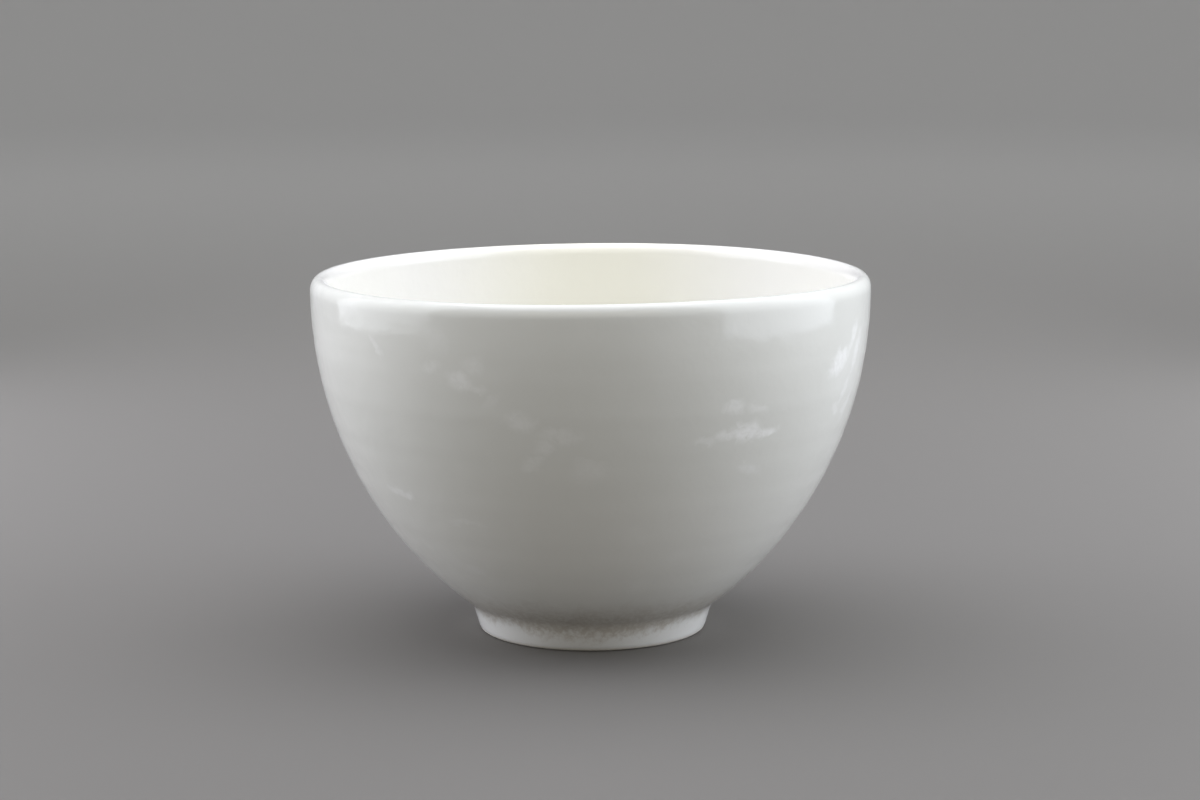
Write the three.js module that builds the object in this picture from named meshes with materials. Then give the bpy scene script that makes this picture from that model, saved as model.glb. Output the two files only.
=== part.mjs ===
// A wide, low teacup of pale glazed porcelain, thrown as one piece with its turned foot ring.
// Millimetres, +Z up. The origin is on the ground, in the middle of the foot.
import * as THREE from 'three';

// Driving dimensions
const cupHeight = 61.4; // ground to the top of the lip
const rimRadius = 47.5; // outside of the wall, just under the lip
const footRadius = 19.4; // outside of the foot ring at the ground
const footHeight = 4.5; // ground to the neck, where the bowl begins
const neckFlare = 1.3; // how far the neck stands out past the foot at the ground
const neckRound = 1.2; // length of the soft corner on each side of the neck
const footRingWidth = 3.2; // foot ring at the ground, with its two worn edges
const edgeWear = 0.45; // width and height of each worn edge
const recessDepth = 5.0; // hollow under the foot, in its middle
const recessDraft = 0.8; // how far the hollow narrows towards its ceiling
const recessRound = 1.2; // soft corner under the ceiling of the hollow
const ceilingSag = 0.4; // how much lower the ceiling is at its edge
const floorThickness = 4.6; // between the hollow and the inside of the cup
const lipThickness = 3.0; // wall just under the lip
const lipRise = 2.2; // height of the rounded lip
const heelThickness = 6.2; // wall where the bowl leaves the neck
const bottomRise = 7.0; // height over which the inside bottom turns up into the wall

// Form of the bowl: how far its side swings out low down, then runs up straight to the lip,
// as shares of the bowl's own width and height
const heelReach = { across: 0.516, up: 0.186 };
const wallRun = 0.466;

// Form of the inside bottom: how full its round corner is and how flat its middle
const bottomFullness = 0.72;
const bottomFlatness = 0.5;

// Fineness of the turned surface
const sides = 96;
const bowlSteps = 12;
const lipSteps = 8;
const cornerSteps = 3;
const bottomSteps = 6;

// Colours and finish of the glaze
const glazeColour = 0xd9dad5;
const glazeRoughness = 0.3;

// Heights and places worked out from the dimensions above
const neck = new THREE.Vector2(footRadius + neckFlare, footHeight);
const underLip = new THREE.Vector2(rimRadius, cupHeight - lipRise);
const bowlWidth = underLip.x - neck.x;
const bowlHeight = underLip.y - neck.y;
const insideFloor = recessDepth + floorThickness;

// The outside of the bowl in half section, from the neck up to the lip
const bowl = new THREE.CubicBezierCurve(
  neck,
  new THREE.Vector2(neck.x + heelReach.across * bowlWidth, neck.y + heelReach.up * bowlHeight),
  new THREE.Vector2(underLip.x, underLip.y - wallRun * bowlHeight),
  underLip
);

// A soft corner between two points, drawn towards the sharp corner that it replaces
function softCorner(start, corner, end) {
  return new THREE.QuadraticBezierCurve(start, corner, end).getPoints(cornerSteps);
}

// The hollow under the foot, from its middle out and down to the ground
function recess() {
  const groundRadius = footRadius - footRingWidth;
  const ceilingRadius = groundRadius - recessDraft;
  const ceilingEdge = recessDepth - ceilingSag;
  const flatRadius = ceilingRadius - recessRound;
  const midRadius = flatRadius / 2;
  const corner = softCorner(
    new THREE.Vector2(flatRadius, ceilingEdge),
    new THREE.Vector2(ceilingRadius, ceilingEdge),
    new THREE.Vector2(ceilingRadius, ceilingEdge - recessRound)
  );
  return [
    new THREE.Vector2(0, recessDepth),
    new THREE.Vector2(midRadius, recessDepth - ceilingSag * (midRadius / flatRadius) ** 2),
    ...corner,
    new THREE.Vector2(groundRadius, edgeWear),
  ];
}

// The ground face of the foot ring with its worn edges, then up its side and round the neck
function footRing() {
  const upFoot = neck.clone().sub(new THREE.Vector2(footRadius, 0)).normalize();
  const belowNeck = neck.clone().addScaledVector(upFoot, -neckRound);
  const pastNeck = bowl.getPointAt(neckRound / bowl.getLength());
  return [
    new THREE.Vector2(footRadius - footRingWidth + edgeWear, 0),
    new THREE.Vector2(footRadius - edgeWear, 0),
    new THREE.Vector2(footRadius + (neckFlare * edgeWear) / footHeight, edgeWear),
    ...softCorner(belowNeck, neck, pastNeck),
  ];
}

// The outside of the bowl above the neck, evenly spaced along its curve
function bowlSide() {
  const start = neckRound / bowl.getLength();
  const points = [];
  for (let step = 1; step <= bowlSteps; step++) {
    points.push(bowl.getPointAt(start + ((1 - start) * step) / bowlSteps));
  }
  return points;
}

// The rounded lip, from the outside over the top to the inside
function lip() {
  const halfWidth = lipThickness / 2;
  const arc = new THREE.EllipseCurve(rimRadius - halfWidth, underLip.y, halfWidth, lipRise, 0, Math.PI);
  return arc.getPoints(lipSteps).slice(1);
}

// The inside of the wall, down from the lip to where the round bottom takes over.
// The wall thickens towards the heel.
function wallInside() {
  const points = [];
  for (let step = bowlSteps - 1; step >= 0; step--) {
    const share = step / bowlSteps;
    const along = bowl.getTangentAt(share);
    const inward = new THREE.Vector2(-along.y, along.x);
    const thickness = lipThickness + (heelThickness - lipThickness) * (1 - share) ** 2;
    points.push(bowl.getPointAt(share).addScaledVector(inward, thickness));
  }
  return points.filter((point) => point.y > insideFloor + bottomRise);
}

// The round bottom inside, from the wall to the middle of the cup
function bottomInside(wall) {
  const [above, start] = wall.slice(-2);
  const downWall = start.clone().sub(above).normalize();
  const drop = start.y - insideFloor;
  const turn = start.clone().addScaledVector(downWall, (bottomFullness * drop) / Math.abs(downWall.y));
  const flat = new THREE.Vector2(bottomFlatness * start.x, insideFloor);
  const middle = new THREE.Vector2(0, insideFloor);
  return new THREE.CubicBezierCurve(start, turn, flat, middle).getPoints(bottomSteps).slice(1);
}

// The whole half section, from the middle of the underside round to the middle of the inside
function halfSection() {
  const wall = wallInside();
  return [...recess(), ...footRing(), ...bowlSide(), ...lip(), ...wall, ...bottomInside(wall)];
}

const glaze = new THREE.MeshStandardMaterial({
  color: glazeColour,
  roughness: glazeRoughness,
  metalness: 0,
});

// The section turns about Y, so the body is tipped up to stand along Z
const body = new THREE.LatheGeometry(halfSection(), sides);
body.rotateX(Math.PI / 2);

const cup = new THREE.Mesh(body, glaze);
cup.name = 'cup';

const teacup = new THREE.Group();
teacup.add(cup);

export default teacup;
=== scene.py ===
import math

import bpy
import numpy as np
from mathutils import Matrix, Vector


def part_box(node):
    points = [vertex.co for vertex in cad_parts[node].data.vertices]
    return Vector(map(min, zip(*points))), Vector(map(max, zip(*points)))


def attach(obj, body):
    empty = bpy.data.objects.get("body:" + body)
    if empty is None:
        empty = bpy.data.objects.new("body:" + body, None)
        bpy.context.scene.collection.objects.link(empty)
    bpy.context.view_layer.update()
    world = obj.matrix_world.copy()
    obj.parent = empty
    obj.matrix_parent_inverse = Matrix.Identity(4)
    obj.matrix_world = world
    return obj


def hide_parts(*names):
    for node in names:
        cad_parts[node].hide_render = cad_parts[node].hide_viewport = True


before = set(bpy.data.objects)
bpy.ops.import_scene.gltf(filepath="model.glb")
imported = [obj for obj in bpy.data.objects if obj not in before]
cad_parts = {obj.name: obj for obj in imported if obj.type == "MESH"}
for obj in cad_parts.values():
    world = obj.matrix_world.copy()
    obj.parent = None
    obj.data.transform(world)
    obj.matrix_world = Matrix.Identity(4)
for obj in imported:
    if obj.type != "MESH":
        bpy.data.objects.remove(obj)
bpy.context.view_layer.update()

MM = 0.001

# Overall sizes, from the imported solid
low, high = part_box("cup")
GROUND = low[2]
CUP_HEIGHT = high[2] - low[2]
RIM_RADIUS = (high[0] - low[0]) / 2

# Half section of the body, as in the solid
FOOT_RADIUS = 19.4 * MM
FOOT_HEIGHT = 4.5 * MM
NECK_FLARE = 1.3 * MM
NECK_ROUND = 1.5 * MM  # a little softer than in the solid
FOOT_RING_WIDTH = 3.2 * MM
EDGE_WEAR = 0.45 * MM
RECESS_DEPTH = 5.0 * MM
RECESS_DRAFT = 0.8 * MM
RECESS_ROUND = 1.2 * MM
CEILING_SAG = 0.4 * MM
FLOOR_THICKNESS = 4.6 * MM
LIP_THICKNESS = 3.0 * MM
LIP_RISE = 2.2 * MM
HEEL_THICKNESS = 6.2 * MM
BOTTOM_RISE = 7.0 * MM
HEEL_REACH = (0.516, 0.186)  # shares of the bowl's width and height
WALL_RUN = 0.466  # share of the bowl's height
BOTTOM_FULLNESS = 0.72
BOTTOM_FLATNESS = 0.5

# Fineness of the mesh
SIDES = 416
RECESS_STEPS = 14
EDGE_STEPS = 5
FOOT_STEPS = 9
NECK_STEPS = 7
BOWL_STEPS = 96
LIP_STEPS = 26
WALL_STEPS = 44
BOTTOM_STEPS = 18
CURVE_STEPS = 2000  # along the bowl's curve, before its points are spaced evenly

# Unevenness of the hand-thrown rim: sine and cosine heights for one, two and three waves round
# it, counted from the photographed side. It fades towards the foot with a power of the height.
RIM_WAVES = ((0.07 * MM, 0.29 * MM), (0.04 * MM, 0.18 * MM), (0.08 * MM, 0.04 * MM))
RIM_FADE_POWER = 3

# Throwing rings, which fade in above the neck and out at the lip, and the fine line inside the lip
RING_DEPTH = 0.012 * MM
RING_PITCHES = (5.3 * MM, 3.1 * MM, 8.9 * MM)
RING_FADE_IN = 6 * MM
RING_FADE_POWER = 8
LIP_LINE_DROP = 2.6 * MM
LIP_LINE_WIDTH = 0.35 * MM
LIP_LINE_DEPTH = 0.06 * MM

# The glaze stops a little above the ground and stands proud of the bare foot
GLAZE_STOP = 0.75 * MM
GLAZE_THICKNESS = 0.07 * MM
GLAZE_EDGE = 0.3 * MM  # height over which it thins out


def curve(points, steps):
    """Points along a Bezier curve of any degree, both ends included."""
    points = np.array(points, dtype=float)
    t = np.linspace(0, 1, steps + 1)[:, None]
    degree = len(points) - 1
    return sum(
        math.comb(degree, k) * (1 - t) ** (degree - k) * t**k * points[k] for k in range(degree + 1)
    )


def evenly(points, start, end, steps):
    """Points at even spacing along a fine polyline, between two shares of its length."""
    lengths = np.r_[0, np.cumsum(np.hypot(*np.diff(points, axis=0).T))]
    places = np.linspace(start, end, steps + 1) * lengths[-1]
    return np.stack([np.interp(places, lengths, points[:, k]) for k in (0, 1)], axis=1)


NECK = np.array([FOOT_RADIUS + NECK_FLARE, FOOT_HEIGHT])
UNDER_LIP = np.array([RIM_RADIUS, CUP_HEIGHT - LIP_RISE])
BOWL_SPAN = UNDER_LIP - NECK
BOWL = curve(
    [NECK, NECK + BOWL_SPAN * HEEL_REACH, UNDER_LIP - (0, WALL_RUN * BOWL_SPAN[1]), UNDER_LIP],
    CURVE_STEPS,
)
BOWL_LENGTH = float(np.hypot(*np.diff(BOWL, axis=0).T).sum())
INSIDE_FLOOR = RECESS_DEPTH + FLOOR_THICKNESS


def recess():
    """The hollow under the foot, from its middle out and down to the worn edge."""
    ground_radius = FOOT_RADIUS - FOOT_RING_WIDTH
    ceiling_radius = ground_radius - RECESS_DRAFT
    ceiling_edge = RECESS_DEPTH - CEILING_SAG
    flat_radius = ceiling_radius - RECESS_ROUND
    radii = np.linspace(0, flat_radius, RECESS_STEPS + 1)
    ceiling = np.stack([radii, RECESS_DEPTH - CEILING_SAG * (radii / flat_radius) ** 2], axis=1)
    corner = curve(
        [(flat_radius, ceiling_edge), (ceiling_radius, ceiling_edge),
         (ceiling_radius, ceiling_edge - RECESS_ROUND)], EDGE_STEPS
    )
    side = curve([corner[-1], (ground_radius, EDGE_WEAR)], EDGE_STEPS)
    return [ceiling, corner[1:], side[1:]]


def foot_ring():
    """The worn ground face, then up the side of the foot and round the neck."""
    inner = FOOT_RADIUS - FOOT_RING_WIDTH
    inner_edge = curve([(inner, EDGE_WEAR), (inner, 0), (inner + EDGE_WEAR, 0)], EDGE_STEPS)
    face = curve([inner_edge[-1], (FOOT_RADIUS - EDGE_WEAR, 0)], EDGE_STEPS)
    up_foot = NECK - (FOOT_RADIUS, 0)
    up_foot = up_foot / np.hypot(*up_foot)
    above_wear = np.array([FOOT_RADIUS + NECK_FLARE * EDGE_WEAR / FOOT_HEIGHT, EDGE_WEAR])
    outer_edge = curve([face[-1], (FOOT_RADIUS, 0), above_wear], EDGE_STEPS)
    side = curve([above_wear, NECK - up_foot * NECK_ROUND], FOOT_STEPS)
    past_neck = evenly(BOWL, NECK_ROUND / BOWL_LENGTH, 1, 1)[0]
    neck = curve([side[-1], NECK, past_neck], NECK_STEPS)
    return [inner_edge[1:], face[1:], outer_edge[1:], side[1:], neck[1:]]


def lip():
    """The rounded lip, from the outside over the top to the inside."""
    turn = np.linspace(0, math.pi, LIP_STEPS + 1)
    half = LIP_THICKNESS / 2
    radii = RIM_RADIUS - half + half * np.cos(turn)
    return np.stack([radii, UNDER_LIP[1] + LIP_RISE * np.sin(turn)], axis=1)


def wall_inside():
    """The inside of the wall, from under the lip down to where the round bottom takes over."""
    shares = np.linspace(1, 0, WALL_STEPS + 1)
    outside = evenly(BOWL, 1, 0, WALL_STEPS)
    along = -np.gradient(outside, axis=0)
    along /= np.hypot(*along.T)[:, None]
    inward = np.stack([-along[:, 1], along[:, 0]], axis=1)
    thickness = LIP_THICKNESS + (HEEL_THICKNESS - LIP_THICKNESS) * (1 - shares) ** 2
    wall = outside + inward * thickness[:, None]
    return wall[wall[:, 1] > INSIDE_FLOOR + BOTTOM_RISE]


def bottom_inside(wall):
    """The round bottom inside, from the wall to the middle."""
    start = wall[-1]
    down_wall = start - wall[-2]
    turn = start + down_wall / abs(down_wall[1]) * BOTTOM_FULLNESS * (start[1] - INSIDE_FLOOR)
    return curve(
        [start, turn, (BOTTOM_FLATNESS * start[0], INSIDE_FLOOR), (0, INSIDE_FLOOR)], BOTTOM_STEPS
    )


def half_section():
    """Every point of the half section, from the middle of the underside to the middle inside."""
    wall = wall_inside()
    bowl = evenly(BOWL, NECK_ROUND / BOWL_LENGTH, 1, BOWL_STEPS)
    pieces = recess() + foot_ring() + [bowl[1:], lip()[1:], wall[1:], bottom_inside(wall)[1:]]
    return np.concatenate(pieces)


def relief(points):
    """How far each point moves out for the throwing rings, the line in the lip and the glaze's
    end."""
    height = points[:, 1]
    top = height / CUP_HEIGHT
    rings = sum(
        np.sin(2 * math.pi * height / pitch + number) / (number + 1)
        for number, pitch in enumerate(RING_PITCHES)
    )
    fade = np.clip((height - FOOT_HEIGHT) / RING_FADE_IN, 0, 1) * (1 - top**RING_FADE_POWER)
    move = RING_DEPTH * rings * fade
    inside = np.arange(len(points)) > np.argmax(height)
    line = np.exp(-(((CUP_HEIGHT - LIP_LINE_DROP - height) / LIP_LINE_WIDTH) ** 2))
    move = move - np.where(inside, LIP_LINE_DEPTH * line, 0)
    bare = np.clip((GLAZE_STOP - height) / GLAZE_EDGE, 0, 1)
    return move - GLAZE_THICKNESS * bare * ~inside * (height > 0)


def spin(section, sides):
    """Vertices and faces of a section turned about Z. Its first point is on the axis, and the
    last one may be."""
    closed = section[-1, 0] == 0
    angles = np.arange(sides) * 2 * math.pi / sides
    ring = section[1:-1] if closed else section[1:]
    x = ring[:, :1] * np.sin(angles)
    y = -ring[:, :1] * np.cos(angles)
    z = np.repeat(ring[:, 1:], sides, axis=1)
    middle = np.stack([x, y, z], axis=2).reshape(-1, 3)
    ends = np.array([[0, 0, section[0, 1]], [0, 0, section[-1, 1]]])
    vertices = np.concatenate([middle, ends if closed else ends[:1]])

    here = np.arange(sides)
    after = (here + 1) % sides
    faces = []
    for row in range(len(ring) - 1):
        base, up = row * sides, (row + 1) * sides
        faces += np.stack([base + here, base + after, up + after, up + here], axis=1).tolist()
    first = len(middle)
    faces += [[first, int(b), int(a)] for a, b in zip(here, after)]
    if closed:
        top = (len(ring) - 1) * sides
        faces += [[first + 1, top + int(a), top + int(b)] for a, b in zip(here, after)]
    return vertices, faces


def smooth_object(name, vertices, faces):
    """A new object with smooth shading, in the scene."""
    mesh = bpy.data.meshes.new(name)
    mesh.from_pydata(vertices.tolist(), [], faces)
    mesh.validate()
    mesh.update()
    mesh.polygons.foreach_set("use_smooth", [True] * len(mesh.polygons))
    made = bpy.data.objects.new(name, mesh)
    bpy.context.scene.collection.objects.link(made)
    return made


def cup_body():
    """The whole cup with its fine relief and the slightly uneven rim."""
    section = half_section()
    along = np.gradient(section, axis=0)
    along /= np.hypot(*along.T)[:, None]
    outward = np.stack([along[:, 1], -along[:, 0]], axis=1)
    turned = section + outward * relief(section)[:, None]
    turned[[0, -1], 0] = 0
    turned[:, 1] = np.maximum(turned[:, 1], 0)

    vertices, faces = spin(turned, SIDES)
    angles = np.arctan2(vertices[:, 0], -vertices[:, 1])
    rise = sum(
        sine * np.sin((k + 1) * angles) + cosine * np.cos((k + 1) * angles)
        for k, (sine, cosine) in enumerate(RIM_WAVES)
    )
    vertices[:, 2] += GROUND + rise * (vertices[:, 2] / CUP_HEIGHT) ** RIM_FADE_POWER
    return smooth_object("teacup_body", vertices, faces)


class Nodes:
    """Short calls for building one material's node tree."""

    def __init__(self, material):
        material.use_nodes = True
        self.tree = material.node_tree
        self.tree.nodes.clear()

    def add(self, kind, **settings):
        node = self.tree.nodes.new(kind)
        for key, value in settings.items():
            setattr(node, key, value)
        return node

    def link(self, source, target):
        self.tree.links.new(source, target)

    def feed(self, socket, value):
        """Link a socket to another one, or set its plain value."""
        if isinstance(value, bpy.types.NodeSocket):
            self.link(value, socket)
        else:
            socket.default_value = value

    def math(self, operation, first, second=None, clamp=False):
        node = self.add("ShaderNodeMath", operation=operation, use_clamp=clamp)
        self.feed(node.inputs[0], first)
        if second is not None:
            self.feed(node.inputs[1], second)
        return node.outputs[0]

    def vector(self, operation, first, second=None):
        node = self.add("ShaderNodeVectorMath", operation=operation)
        self.feed(node.inputs[0], first)
        if second is not None:
            self.feed(node.inputs[1], second)
        return node.outputs["Value" if operation in ("LENGTH", "DOT_PRODUCT") else "Vector"]

    def ramp(self, value, low, high, to_low=0.0, to_high=1.0):
        """A smooth step of a value from one range to another."""
        node = self.add("ShaderNodeMapRange", interpolation_type="SMOOTHSTEP")
        for socket, number in zip(node.inputs[:5], (value, low, high, to_low, to_high)):
            self.feed(socket, number)
        return node.outputs[0]

    def noise(self, position, per_metre, detail=2.0, rough=0.5):
        node = self.add("ShaderNodeTexNoise")
        self.link(position, node.inputs["Vector"])
        node.inputs["Scale"].default_value = per_metre
        node.inputs["Detail"].default_value = detail
        node.inputs["Roughness"].default_value = rough
        return node.outputs["Fac"], node.outputs["Color"]

    def cells(self, position, per_metre):
        node = self.add("ShaderNodeTexVoronoi")
        self.link(position, node.inputs["Vector"])
        node.inputs["Scale"].default_value = per_metre
        return node

    def split(self, position):
        """The three coordinates of a position."""
        node = self.add("ShaderNodeSeparateXYZ")
        self.link(position, node.inputs[0])
        return node.outputs

    def mix(self, share, first, second):
        node = self.add("ShaderNodeMix", data_type="RGBA")
        self.feed(node.inputs["Factor"], share)
        self.feed(node.inputs[6], first)
        self.feed(node.inputs[7], second)
        return node.outputs[2]

    def finish(self, shader):
        """Make a shader the material's surface."""
        output = self.add("ShaderNodeOutputMaterial")
        self.link(shader.outputs[0], output.inputs["Surface"])


# Colours of the glaze: outside with faint clouds; the inside; its creamier front and back, a painted
# warm reflection between the inner walls; the deeper tone at its bottom, a painted shade; the whiter
# foot, partly painted light from the low side lights; the painted shade round the neck; the painted
# light on the low part of the bowl; the crystals, whose extra lightness also stands in for their
# glint; and the bare porcelain that the cup stands on
GLAZE_COLOUR = (0.750, 0.750, 0.705, 1)
CLOUD_COLOUR = (0.730, 0.730, 0.685, 1)
INSIDE_COLOUR = (0.818, 0.807, 0.778, 1)
PAINTED_CREAM_REFLECTION_COLOUR = (0.852, 0.832, 0.735, 1)
WELL_PAINTED_SHADE_COLOUR = (0.64, 0.65, 0.58, 1)
FOOT_WHITE_AND_PAINTED_LIGHT_COLOUR = (0.84, 0.84, 0.815, 1)
NECK_PAINTED_SHADE_COLOUR = (0.60, 0.56, 0.50, 1)
LOW_BOWL_PAINTED_LIGHT_COLOUR = (0.830, 0.825, 0.780, 1)
CRYSTAL_AND_GLINT_COLOUR = (0.92, 0.92, 0.895, 1)
BARE_COLOUR = (0.72, 0.69, 0.63, 1)
GLAZE_IOR = 1.6

# Crystals that show in the photographed side of the glaze: degrees round from the front (right is
# positive), height, length, width, tilt in degrees (right end up is positive), and strength.
# Sizes in millimetres.
CRYSTALS = (
    (-25.6, 49.4, 5.6, 3.0, -22, 0.6),
    (-22.3, 48.2, 4.2, 1.5, -15, 0.4),
    (-23.0, 52.2, 4.8, 3.6, 10, 0.35),
    (-32.0, 51.3, 4.8, 2.2, 20, 0.3),
    (-19.5, 46.3, 3.6, 2.2, 40, 0.22),
    (-13.9, 43.0, 6.0, 4.2, -5, 0.5),
    (-5.8, 41.0, 7.0, 3.0, 0, 0.35),
    (-9.2, 39.1, 3.6, 2.2, 10, 0.4),
    (-12.5, 36.6, 4.8, 2.4, 35, 0.4),
    (-46.3, 53.8, 4.0, 1.6, -50, 0.4),
    (-50.1, 28.3, 7.0, 1.7, -5, 0.6),
    (-47.0, 28.2, 3.0, 2.0, 0, 0.75),
    (-31.5, 25.0, 8.0, 1.8, 0, 0.35),
    (-37.0, 15.5, 5.8, 2.0, 0, 0.4),
    (33.2, 40.3, 6.6, 3.7, 0, 1.0),
    (38.3, 39.9, 5.6, 2.2, 6, 0.9),
    (29.2, 39.8, 6.0, 2.2, 6, 0.7),
    (24.0, 39.3, 5.0, 1.6, 0, 0.4),
    (29.4, 44.6, 4.2, 3.4, 0, 0.55),
    (35.4, 43.8, 4.8, 2.2, -20, 0.45),
    (35.8, 33.9, 5.4, 2.0, -20, 0.45),
    (60.3, 49.3, 8.4, 4.4, 25, 1.0),
    (65.4, 52.8, 6.8, 2.6, 60, 0.7),
    (68.6, 49.6, 9.0, 3.0, 75, 0.7),
    (64.8, 44.6, 7.4, 2.4, 50, 0.6),
    (62.3, 41.4, 5.0, 2.2, -25, 0.5),
    (68.5, 41.5, 7.0, 2.6, 65, 0.55),
    (66.0, 46.5, 15.0, 14.0, 0, 0.22),
)
CRYSTAL_DEPTH = 4 * MM  # how deep each crystal's ellipsoid reaches through the surface
CRYSTAL_CORE = 0.3  # share of each ellipsoid at full strength
CRYSTAL_END = 1.25  # share at which it has faded out

# Ragged, angular edges: size and reach of the shards and of the softer drift
SHARDS_PER_METRE = 620
SHARD_SHIFT = 0.7 * MM
DRIFT_PER_METRE = 230
DRIFT_SHIFT = 2.2 * MM

# Faint crystals all round, in loose groups: fineness of both, the reach of each crystal as shares
# of its cell, and the steps of the random values that choose the crystals and the groups
FLAKES_PER_METRE = 130
FLAKE_REACH = (0.1, 0.5)
FLAKES_CHOSEN = (0.72, 0.9)
GROUPS_PER_METRE = 40
GROUPS_CHOSEN = (0.52, 0.66)
FAINT_STRENGTH = 0.3

# Fibrous grain: the noise values between which it shows, and how strong it leaves a crystal
FIBRES_PER_METRE = 1300
GRAIN_NOISE = (0.3, 0.65)
GRAIN_STRENGTH = (0.6, 1.0)

# Zones of the glaze by height, from where each begins to fade to where it ends. The neck's zone is a
# painted shade, the low bowl's is painted light and the inside bottom's is a painted shade; the foot's
# whiteness is partly painted light.
BARE_ZONE = (0.35 * MM, GLAZE_STOP)
FOOT_WHITE_AND_PAINTED_LIGHT_ZONE = (1.9 * MM, 4.6 * MM)
NECK_PAINTED_SHADE_ZONE = (FOOT_HEIGHT, 11 * MM)
LOW_BOWL_PAINTED_LIGHT_ZONE = (14 * MM, 44 * MM)
WELL_PAINTED_SHADE_ZONE = (INSIDE_FLOOR, 38 * MM)

# The white foot reaches higher at the sides than in front, where it is painted light from the low
# side lights, and has feathers
FOOT_PAINTED_LIGHT_SIDES = (5 * MM, 16 * MM)
FOOT_PAINTED_LIGHT_LIFT = (-0.4 * MM, 1.0 * MM)
FEATHER_REACH = 2.8 * MM

# Sideways distance over which the cream colour inside fades, a painted warm reflection between the
# inner walls, and the faint clouds outside
PAINTED_CREAM_REFLECTION_SIDES = (4 * MM, 34 * MM)
CLOUDS_PER_METRE = 55
CLOUD_NOISE = (0.35, 0.7)

# The inside is where the surface turns to the axis, as the outward share of its normal
INSIDE_TURN = (-0.1, 0.3)
INSIDE_MARGIN = 1 * MM  # kept to the hollow under the foot and to the inside bottom

# Gloss: roughness of the glaze in patches, what a crystal adds, and the bare porcelain
PATCHES_PER_METRE = 260
PATCH_NOISE = (0.3, 0.7)
GLAZE_ROUGHNESS = (0.09, 0.14)
CRYSTAL_ROUGHNESS = 0.1
BARE_ROUGHNESS = 0.62

# Bumps: fineness and weight of the eggshell, the slow waves and the sand of the bare edge
EGGSHELL_PER_METRE = 1500
EGGSHELL_WEIGHT = 0.14
WAVES_PER_METRE = 340
WAVE_WEIGHT = 1.1
SAND_PER_METRE = 5200
SAND_WEIGHT = 0.6
BUMP_STRENGTH = 0.8
BUMP_DEPTH = 0.05 * MM


def bowl_radius(height):
    """Outside radius of the bowl at a height above the ground."""
    return float(np.interp(height, BOWL[:, 1], BOWL[:, 0]))


def crystal_field(nodes, position):
    """Strength of the chosen crystals at each point, from 0 to 1."""
    field = None
    for degrees, height, length, width, tilt, strength in CRYSTALS:
        angle = math.radians(degrees)
        height *= MM
        radius = bowl_radius(height)
        place = nodes.add("ShaderNodeMapping", vector_type="TEXTURE")
        place.inputs["Location"].default_value = (
            radius * math.sin(angle), -radius * math.cos(angle), GROUND + height
        )
        turn = Matrix.Rotation(angle, 3, "Z") @ Matrix.Rotation(-math.radians(tilt), 3, "Y")
        place.inputs["Rotation"].default_value = turn.to_euler()
        place.inputs["Scale"].default_value = (length / 2 * MM, CRYSTAL_DEPTH, width / 2 * MM)
        nodes.link(position, place.inputs["Vector"])
        away = nodes.vector("LENGTH", place.outputs["Vector"])
        share = nodes.ramp(away, CRYSTAL_CORE, CRYSTAL_END, strength, 0.0)
        field = share if field is None else nodes.math("MAXIMUM", field, share)
    return field


def scattered_crystals(nodes, position):
    """Faint crystals all round, in loose groups."""
    flake = nodes.cells(position, FLAKES_PER_METRE)
    chosen = nodes.add("ShaderNodeSeparateColor")
    nodes.link(flake.outputs["Color"], chosen.inputs[0])
    near = nodes.ramp(flake.outputs["Distance"], *FLAKE_REACH, 1.0, 0.0)
    present = nodes.ramp(chosen.outputs[0], *FLAKES_CHOSEN)
    groups, _ = nodes.noise(position, GROUPS_PER_METRE, detail=1.0)
    grouped = nodes.ramp(groups, *GROUPS_CHOSEN)
    flakes = nodes.math("MULTIPLY", nodes.math("MULTIPLY", near, present), grouped)
    return nodes.math("MULTIPLY", flakes, FAINT_STRENGTH)


def ragged_place(nodes, place):
    """The position, pushed about by shards and by a softer drift."""
    _, drift = nodes.noise(place, DRIFT_PER_METRE)
    shards = nodes.cells(place, SHARDS_PER_METRE).outputs["Color"]
    ragged = place
    for colour, reach in ((shards, SHARD_SHIFT), (drift, DRIFT_SHIFT)):
        shift = nodes.vector("SUBTRACT", colour, (0.5, 0.5, 0.5))
        ragged = nodes.vector("ADD", ragged, nodes.vector("MULTIPLY", shift, (reach,) * 3))
    return ragged


def inside_share(nodes, place, height):
    """1 where the surface faces the axis of the cup above its floor, 0 outside."""
    facing = nodes.add("ShaderNodeNewGeometry").outputs["Normal"]
    from_axis = nodes.vector("NORMALIZE", nodes.vector("MULTIPLY", place, (1, 1, 0)))
    outward = nodes.vector("DOT_PRODUCT", facing, from_axis)
    inner = nodes.ramp(outward, *INSIDE_TURN, 1.0, 0.0)
    recess_top = GROUND + RECESS_DEPTH + INSIDE_MARGIN
    above_foot = nodes.ramp(height, recess_top, GROUND + INSIDE_FLOOR - INSIDE_MARGIN)
    return nodes.math("MULTIPLY", inner, above_foot)


def below(nodes, height, zone):
    """1 under a zone, 0 over it, and smooth between its two heights."""
    fade, end = zone
    return nodes.ramp(height, GROUND + fade, GROUND + end, 1.0, 0.0)


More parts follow.
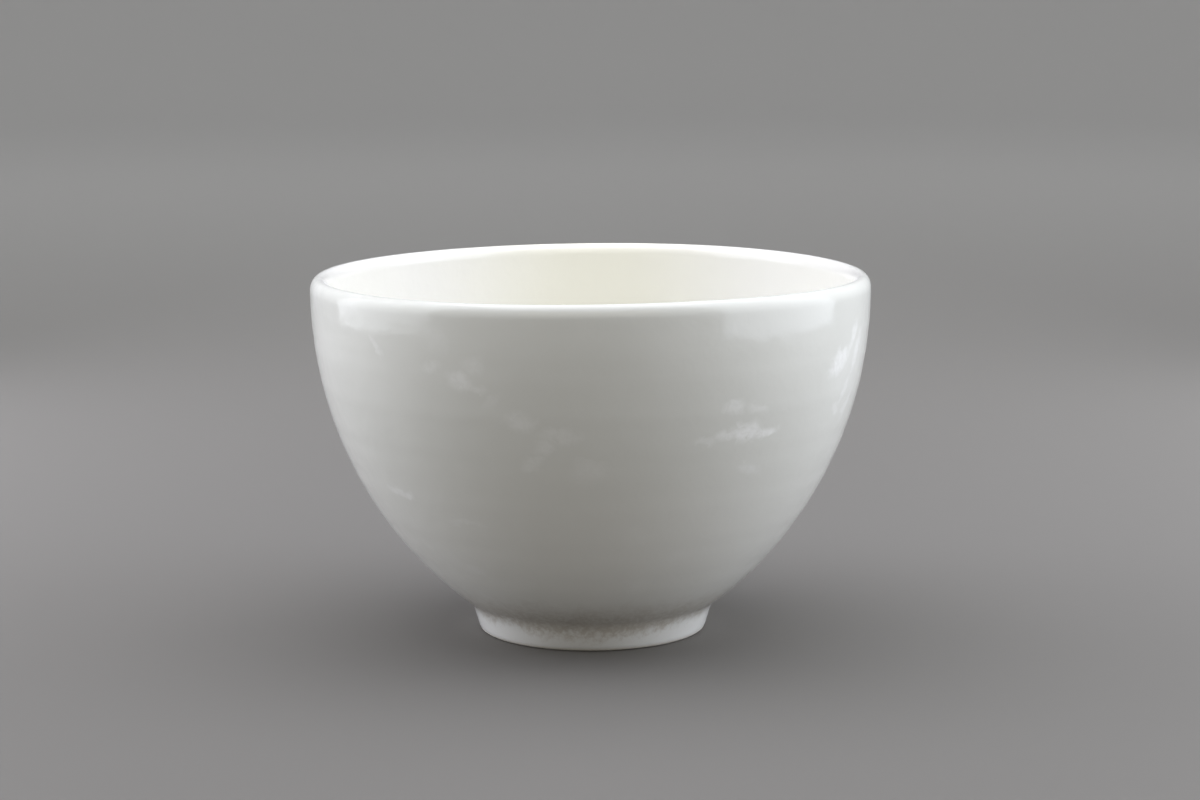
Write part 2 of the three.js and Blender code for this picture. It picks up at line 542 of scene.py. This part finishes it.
def glaze_colour(nodes, place, ragged, crystals, fibres, grain):
    """Colour of the glaze, from the foot up, then inside, then the crystals."""
    height = nodes.split(place)[2]
    ragged_x, _, ragged_height = nodes.split(ragged)
    sideways = nodes.math("ABSOLUTE", ragged_x)
    # Painted light: the white foot reaches higher at the sides, where the low side lights fall
    side_light_lift = nodes.ramp(sideways, *FOOT_PAINTED_LIGHT_SIDES, *FOOT_PAINTED_LIGHT_LIFT)
    feather = nodes.math("MULTIPLY", nodes.math("SUBTRACT", fibres, 0.5), FEATHER_REACH)
    foot_height = nodes.math("ADD", nodes.math("SUBTRACT", ragged_height, side_light_lift), feather)
    # Painted shade round the neck, broken by the fibrous grain
    neck_shade = nodes.math("MULTIPLY", below(nodes, ragged_height, NECK_PAINTED_SHADE_ZONE), grain)

    clouds, _ = nodes.noise(place, CLOUDS_PER_METRE, detail=3.0)
    glaze = nodes.mix(nodes.ramp(clouds, *CLOUD_NOISE), GLAZE_COLOUR, CLOUD_COLOUR)
    # Painted light: the low part of the bowl is lighter
    glaze = nodes.mix(below(nodes, height, LOW_BOWL_PAINTED_LIGHT_ZONE), glaze, LOW_BOWL_PAINTED_LIGHT_COLOUR)
    # Painted shade round the neck, with a brownish tint
    glaze = nodes.mix(neck_shade, glaze, NECK_PAINTED_SHADE_COLOUR)
    # The whiter foot, partly painted light from the low side lights
    glaze = nodes.mix(below(nodes, foot_height, FOOT_WHITE_AND_PAINTED_LIGHT_ZONE), glaze, FOOT_WHITE_AND_PAINTED_LIGHT_COLOUR)
    # Painted reflection: the inside is creamier at its front and back, for the warm light between its
    # walls
    inside = nodes.mix(nodes.ramp(sideways, *PAINTED_CREAM_REFLECTION_SIDES), PAINTED_CREAM_REFLECTION_COLOUR, INSIDE_COLOUR)
    # Painted shade: darker towards the inside bottom
    inside = nodes.mix(below(nodes, height, WELL_PAINTED_SHADE_ZONE), inside, WELL_PAINTED_SHADE_COLOUR)
    glaze = nodes.mix(inside_share(nodes, place, height), glaze, inside)
    # The crystals are real; their extra lightness also stands in for their glint
    return nodes.mix(crystals, glaze, CRYSTAL_AND_GLINT_COLOUR)


def glaze_gloss(nodes, place, crystals, bare):
    """Roughness of the glaze in patches, of its crystals and of the bare edge."""
    patches, _ = nodes.noise(place, PATCHES_PER_METRE, detail=4.0)
    roughness = nodes.ramp(patches, *PATCH_NOISE, *GLAZE_ROUGHNESS)
    roughness = nodes.math("ADD", roughness, nodes.math("MULTIPLY", crystals, CRYSTAL_ROUGHNESS))
    return nodes.math("MAXIMUM", roughness, nodes.math("MULTIPLY", bare, BARE_ROUGHNESS))


def glaze_bumps(nodes, place, bare):
    """Fine eggshell of the glaze over slow waves, and sand on the bare edge."""
    eggshell, _ = nodes.noise(place, EGGSHELL_PER_METRE)
    waves, _ = nodes.noise(place, WAVES_PER_METRE)
    sand, _ = nodes.noise(place, SAND_PER_METRE, detail=3.0, rough=0.7)
    eggshell = nodes.math("MULTIPLY", eggshell, EGGSHELL_WEIGHT)
    waves = nodes.math("MULTIPLY", waves, WAVE_WEIGHT)
    sand = nodes.math("MULTIPLY", nodes.math("MULTIPLY", sand, bare), SAND_WEIGHT)
    level = nodes.math("ADD", nodes.math("ADD", eggshell, waves), sand)
    bump = nodes.add("ShaderNodeBump")
    bump.inputs["Strength"].default_value = BUMP_STRENGTH
    bump.inputs["Distance"].default_value = BUMP_DEPTH
    nodes.link(level, bump.inputs["Height"])
    return bump.outputs["Normal"]


def glaze_material():
    """Pale glaze with crystals in it, creamier inside as a painted reflection, and whiter and feathery
    at the foot, partly painted light.
    """
    material = bpy.data.materials.new("crystalline_glaze")
    nodes = Nodes(material)
    place = nodes.add("ShaderNodeTexCoord").outputs["Object"]
    ragged = ragged_place(nodes, place)
    crystals = nodes.math("MAXIMUM", crystal_field(nodes, ragged), scattered_crystals(nodes, ragged))
    fibres, _ = nodes.noise(place, FIBRES_PER_METRE, detail=3.0, rough=0.6)
    grain = nodes.ramp(fibres, *GRAIN_NOISE, *GRAIN_STRENGTH)
    crystals = nodes.math("MULTIPLY", crystals, grain, clamp=True)
    bare = below(nodes, nodes.split(place)[2], BARE_ZONE)
    glaze = glaze_colour(nodes, place, ragged, crystals, fibres, grain)

    shader = nodes.add("ShaderNodeBsdfPrincipled")
    nodes.link(nodes.mix(bare, glaze, BARE_COLOUR), shader.inputs["Base Color"])
    nodes.link(glaze_gloss(nodes, place, crystals, bare), shader.inputs["Roughness"])
    nodes.link(glaze_bumps(nodes, place, bare), shader.inputs["Normal"])
    shader.inputs["IOR"].default_value = GLAZE_IOR
    nodes.finish(shader)
    return material


# A plain floor that turns up into a plain backdrop all round. Its colour at the cup turns into the
# backdrop's over the length of the blend; the lighter colour farther out is painted light, in place
# of the lamps' fall-off.
FLOOR_COLOUR = (0.157, 0.150, 0.140, 1)
BACKDROP_PAINTED_LIGHT_COLOUR = (0.48, 0.460, 0.425, 1)
FLOOR_PAINTED_LIGHT_BLEND = 1.0
FLOOR_ROUGHNESS = 0.9
FLOOR_SHINE = 0.2
FLOOR_REACH = 1.3
BACKDROP_ROUND = 0.8
BACKDROP_TOP = 2.4
BACKDROP_STEPS = 24
BACKDROP_SIDES = 128


def pale_floor():
    """A plain pale floor and backdrop that fill the view from any side."""
    turn = np.linspace(0, math.pi / 2, BACKDROP_STEPS + 1)
    radii = np.r_[0, FLOOR_REACH + BACKDROP_ROUND * np.sin(turn), FLOOR_REACH + BACKDROP_ROUND]
    heights = np.r_[0, BACKDROP_ROUND * (1 - np.cos(turn)), BACKDROP_TOP]
    vertices, faces = spin(np.stack([radii, GROUND + heights], axis=1), BACKDROP_SIDES)
    floor = smooth_object("floor", vertices, faces)
    material = bpy.data.materials.new("pale_floor")
    nodes = Nodes(material)
    place = nodes.vector("MULTIPLY", nodes.add("ShaderNodeTexCoord").outputs["Object"], (1, 1, 0))
    # Painted light: the floor is painted lighter away from the cup, where the lamps fall off
    away = nodes.ramp(nodes.vector("LENGTH", place), 0.0, FLOOR_PAINTED_LIGHT_BLEND)
    shader = nodes.add("ShaderNodeBsdfPrincipled")
    nodes.link(nodes.mix(away, FLOOR_COLOUR, BACKDROP_PAINTED_LIGHT_COLOUR), shader.inputs["Base Color"])
    shader.inputs["Roughness"].default_value = FLOOR_ROUGHNESS
    shader.inputs["Specular IOR Level"].default_value = FLOOR_SHINE
    nodes.finish(shader)
    floor.data.materials.append(material)


# Upright panels: name, the ground points of their two ends, height of the lower edge, and
# radiance. The glossy ones show in the glaze, and the dull ones behind them don't.
PANEL_HEIGHT = 0.4
GLOSSY_PANELS = (
    ("right_panel", (0.206, -0.178), (0.304, 0.098), 0.006, (1.42, 1.50, 1.64)),
    ("left_panel", (-0.284, -0.148), (-0.284, 0.135), 0.0085, (1.50, 1.56, 1.64)),
)
DULL_PANELS = (
    ("right_rear", (0.331, -0.082), (0.220, 0.261), 0.002, (1.70, 1.75, 1.90)),
    ("left_rear", (-0.338, -0.036), (-0.218, 0.261), 0.002, (1.90, 1.90, 2.15)),
)

# Lights above and in front: name, place, facing, width and height, and radiance
HIGH_LIGHTS = (
    ("top_light", (0, 0.05, 0.5), (0, 0, -1), (0.5, 0.5), (1.42, 1.40, 1.42)),
    ("front_light", (0, -0.9, 0.5), (0, 0.9, -0.45), (1.0, 0.6), (0.37, 0.31, 0.20)),
)
WORLD_COLOUR = (0.945, 1.0, 1.11)
WORLD_STRENGTH = 1.08


def soft_light(name, place, facing, size, radiance):
    """A rectangular light of even brightness. It shows in reflections but not to the camera."""
    light = bpy.data.lights.new(name, "AREA")
    light.shape = "RECTANGLE"
    light.size, light.size_y = size
    strongest = max(radiance)
    light.energy = math.pi * light.size * light.size_y * strongest
    light.color = [part / strongest for part in radiance]
    lamp = bpy.data.objects.new(name, light)
    lamp.location = place
    lamp.rotation_euler = Vector(facing).to_track_quat("-Z", "Y").to_euler()
    lamp.visible_camera = False
    bpy.context.scene.collection.objects.link(lamp)
    return lamp


def upright_light(name, start, stop, bottom, radiance):
    """An upright soft light over the ground between two points, facing the cup."""
    start = Vector((*start, GROUND))
    along = Vector((*stop, GROUND)) - start
    place = start + along / 2 + Vector((0, 0, bottom + PANEL_HEIGHT / 2))
    facing = along.cross(Vector((0, 0, 1)))
    if facing.dot(place) > 0:
        facing.negate()
    return soft_light(name, place, facing, (along.length, PANEL_HEIGHT), radiance)


def lights():
    """A tall panel on each side with a dull light behind it, one light above, a weak warm one
    in front, and the even light of the room."""
    for panel in GLOSSY_PANELS:
        upright_light(*panel)
    for panel in DULL_PANELS:
        upright_light(*panel).visible_glossy = False
    for light in HIGH_LIGHTS:
        soft_light(*light)
    world = bpy.data.worlds.new("studio")
    world.use_nodes = True
    background = world.node_tree.nodes["Background"]
    background.inputs["Color"].default_value = (*WORLD_COLOUR, 1)
    background.inputs["Strength"].default_value = WORLD_STRENGTH
    bpy.context.scene.world = world


# The camera that took the photograph, worked out from the cup's outline. The lens and the sensor
# are in millimetres.
CAMERA_BACK = 0.4845
CAMERA_RIGHT = 0.0015
CAMERA_HEIGHT = 0.1199
CAMERA_PITCH = math.radians(9.44)
CAMERA_ROLL = math.radians(0.32)
LENS = 86.05
SENSOR_WIDTH = 36
NEAREST = 0.01
FARTHEST = 60


def camera():
    """The photograph's camera, set as the scene's."""
    data = bpy.data.cameras.new("camera")
    data.sensor_width = SENSOR_WIDTH
    data.lens = LENS
    data.clip_start = NEAREST
    data.clip_end = FARTHEST
    view = bpy.data.objects.new("camera", data)
    turn = Matrix.Rotation(math.pi / 2 - CAMERA_PITCH, 4, "X") @ Matrix.Rotation(-CAMERA_ROLL, 4, "Z")
    view.matrix_world = Matrix.Translation((CAMERA_RIGHT, -CAMERA_BACK, GROUND + CAMERA_HEIGHT)) @ turn
    bpy.context.scene.collection.objects.link(view)
    bpy.context.scene.camera = view


camera()
lights()
pale_floor()

cup = cup_body()
cup.data.materials.append(glaze_material())
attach(cup, "root")
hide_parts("cup")

bpy.context.scene.view_settings.view_transform = "Standard"
